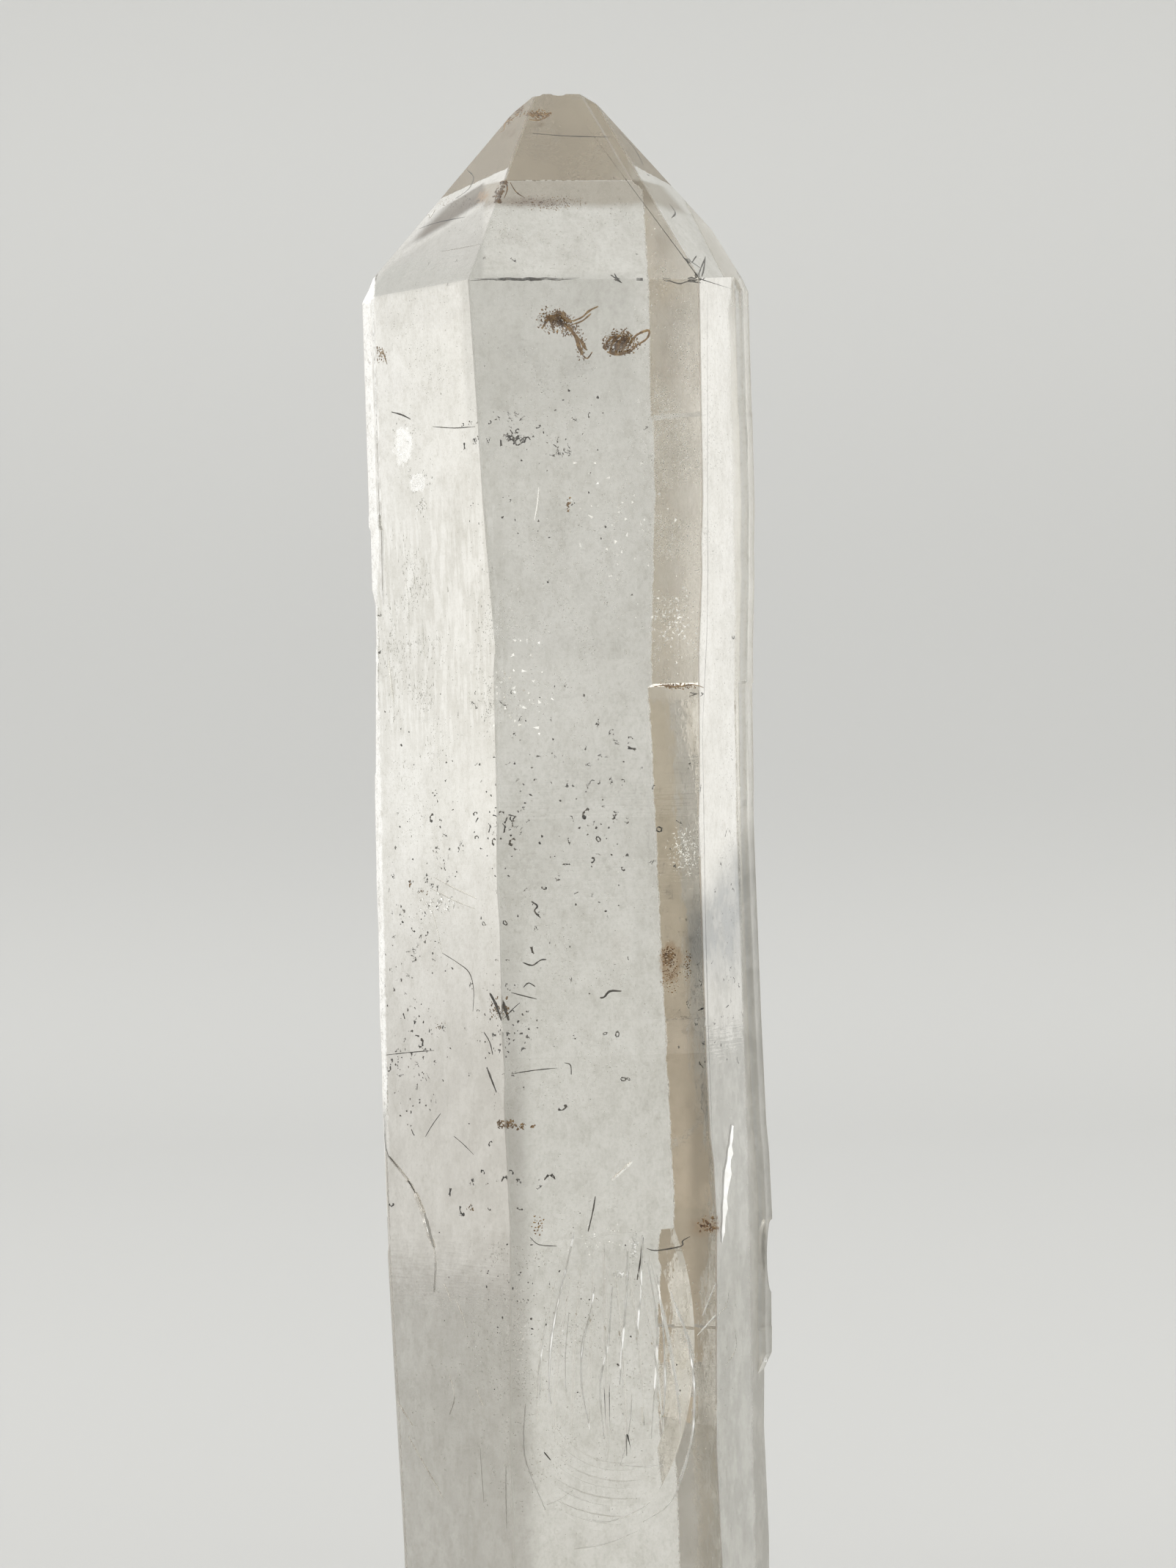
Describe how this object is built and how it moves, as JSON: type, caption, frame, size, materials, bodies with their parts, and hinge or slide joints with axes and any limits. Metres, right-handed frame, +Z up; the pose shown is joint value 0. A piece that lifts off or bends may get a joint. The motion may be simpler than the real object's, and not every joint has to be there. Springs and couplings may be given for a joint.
{
  "type": "quartz crystal wand",
  "caption": "Clear quartz crystal wand: a long six-sided natural prism with a six-faced point, growth ledges, a fracture scar and a flat cut base it stands on.",
  "frame": {"origin": "middle of the crystal's own box, on the flat cut base it stands on", "axes": "+Z up along the crystal to its point, -Y out of the broad front face, +X to the right of that face"},
  "size_m": [0.0344, 0.0256, 0.1462],
  "materials": {
    "clear_quartz": "clear natural crystal faces, glossy to lightly etched, with dark and brown specks inside"
  },
  "bodies": {
    "root": {"quartz_wand": "clear_quartz"}
  },
  "joints": []
}
